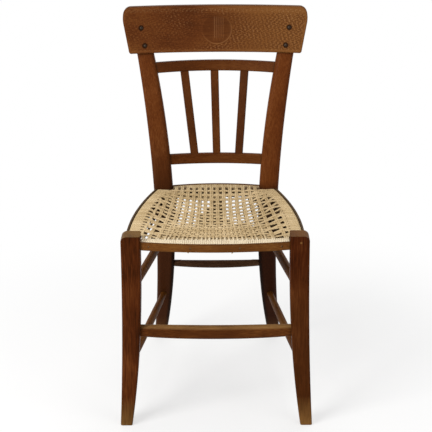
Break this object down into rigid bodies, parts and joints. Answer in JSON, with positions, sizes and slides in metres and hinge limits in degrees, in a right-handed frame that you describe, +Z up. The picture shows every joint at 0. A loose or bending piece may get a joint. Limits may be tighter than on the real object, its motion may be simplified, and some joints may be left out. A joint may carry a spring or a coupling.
{
  "type": "side chair",
  "caption": "Wooden side chair with a bowed, carved crest board, flat back spindles, round stretchers and a seat woven of pale cord between edge strips.",
  "frame": {"origin": "on the floor, in the middle of the chair's width and of its overall depth", "axes": "+Z up, +X to the right as seen from the front, +Y towards the back, so that the front faces -Y"},
  "size_m": [0.4384, 0.503, 0.877],
  "materials": {
    "frame_wood": "red-brown stained beech under a worn satin varnish",
    "crest_wood": "brown stained beech with pressed relief, satin varnish",
    "stretcher_wood": "brown stained beech, rubbed lighter on top",
    "strip_wood": "golden brown stained beech, satin varnish",
    "rail_wood": "bare beech, hidden in the cord",
    "seat_cord": "pale twisted paper cord, matt",
    "screw_metal": "darkened steel",
    "nail_metal": "darkened steel"
  },
  "bodies": {
    "root": {"front_leg_left": "frame_wood", "front_leg_right": "frame_wood", "rear_post_left": "frame_wood", "rear_post_right": "frame_wood", "crest_rail": "crest_wood", "crest_screws": "screw_metal", "upper_back_rail": "frame_wood", "lower_back_rail": "frame_wood", "back_spindle_left": "frame_wood", "back_spindle_middle": "frame_wood", "back_spindle_right": "frame_wood", "front_stretcher": "stretcher_wood", "rear_stretcher": "frame_wood", "upper_side_stretcher_left": "stretcher_wood", "upper_side_stretcher_right": "stretcher_wood", "lower_side_stretcher_left": "stretcher_wood", "lower_side_stretcher_right": "stretcher_wood", "seat_rail_front": "rail_wood", "seat_rail_rear": "rail_wood", "seat_rail_left": "rail_wood", "seat_rail_right": "rail_wood", "edge_strip_front": "strip_wood", "edge_strip_rear": "strip_wood", "edge_strip_left": "strip_wood", "edge_strip_right": "strip_wood", "strip_nails": "nail_metal", "seat_weave": "seat_cord"}
  },
  "joints": []
}
